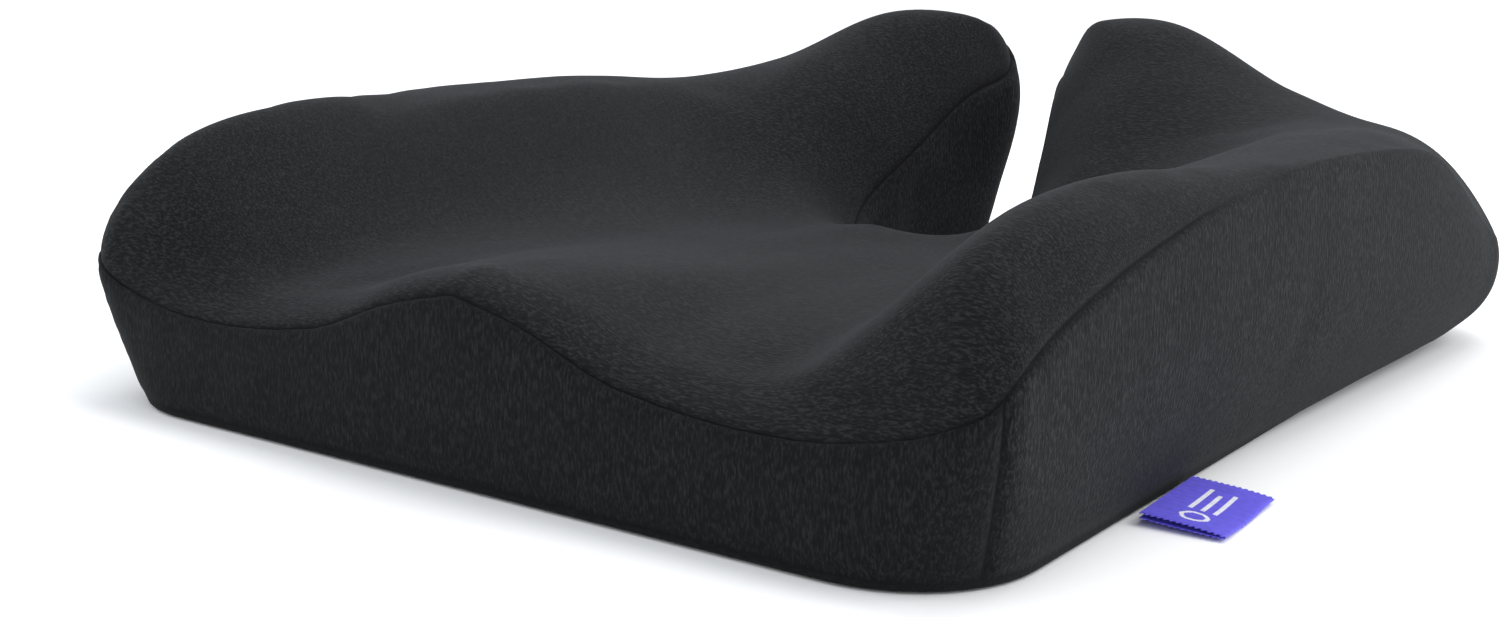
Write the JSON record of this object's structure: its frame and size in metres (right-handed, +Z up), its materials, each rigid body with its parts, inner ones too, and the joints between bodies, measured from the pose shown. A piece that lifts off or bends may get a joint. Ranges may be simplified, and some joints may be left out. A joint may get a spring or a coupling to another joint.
{
  "type": "seat cushion",
  "caption": "Contoured foam seat cushion with a rear tailbone notch, raised sides and lobes, front hump, sewn knit cover, grip dots and a side zip.",
  "frame": {"origin": "on the floor under the middle of the cushion's plan outline, on the plane of symmetry", "axes": "+Z up, -Y towards the front edge, +X towards the side with the maker's label"},
  "size_m": [0.4526, 0.462, 0.135],
  "materials": {
    "foam": "open-cell polyurethane foam, matt",
    "cover_knit": "heathered charcoal knit, matt",
    "base_fabric": "plain woven black, matt",
    "grip_silicone": "satin silicone",
    "zip_tape": "woven tape",
    "zip_nylon": "moulded nylon",
    "zip_metal": "black lacquered zinc",
    "label_weave": "woven label, slight sheen",
    "label_satin": "white satin ribbon"
  },
  "bodies": {
    "cushion": {"foam_core": "foam", "top_panel": "cover_knit", "front_panel": "cover_knit", "right_side_panel": "cover_knit", "left_side_panel": "cover_knit", "rear_right_panel": "cover_knit", "rear_left_panel": "cover_knit", "notch_panel": "cover_knit", "base_panel": "base_fabric", "grip_dots": "grip_silicone", "zipper_tape_upper": "zip_tape", "zipper_tape_lower": "zip_tape", "zipper_teeth_upper": "zip_nylon", "zipper_teeth_lower": "zip_nylon", "zipper_top_stop": "zip_metal", "zipper_end_stop": "zip_metal", "maker_label": "label_weave", "care_label": "label_satin"},
    "slider": {"zipper_slider": "zip_metal"},
    "pull_tab": {"zipper_pull_tab": "zip_metal"}
  },
  "joints": [
    {"name": "zip_slide", "type": "slide", "parent": "cushion", "child": "slider", "axis": [-0.061, 0.9981, 0], "range_m": [0, 0.178]},
    {"name": "pull_tab_hinge", "type": "hinge", "parent": "slider", "child": "pull_tab", "pos_m": [-0.20022, -0.10002, 0.01621], "axis": [-0.2545, -0.0155, 0.967], "range_deg": [0, 170]}
  ]
}
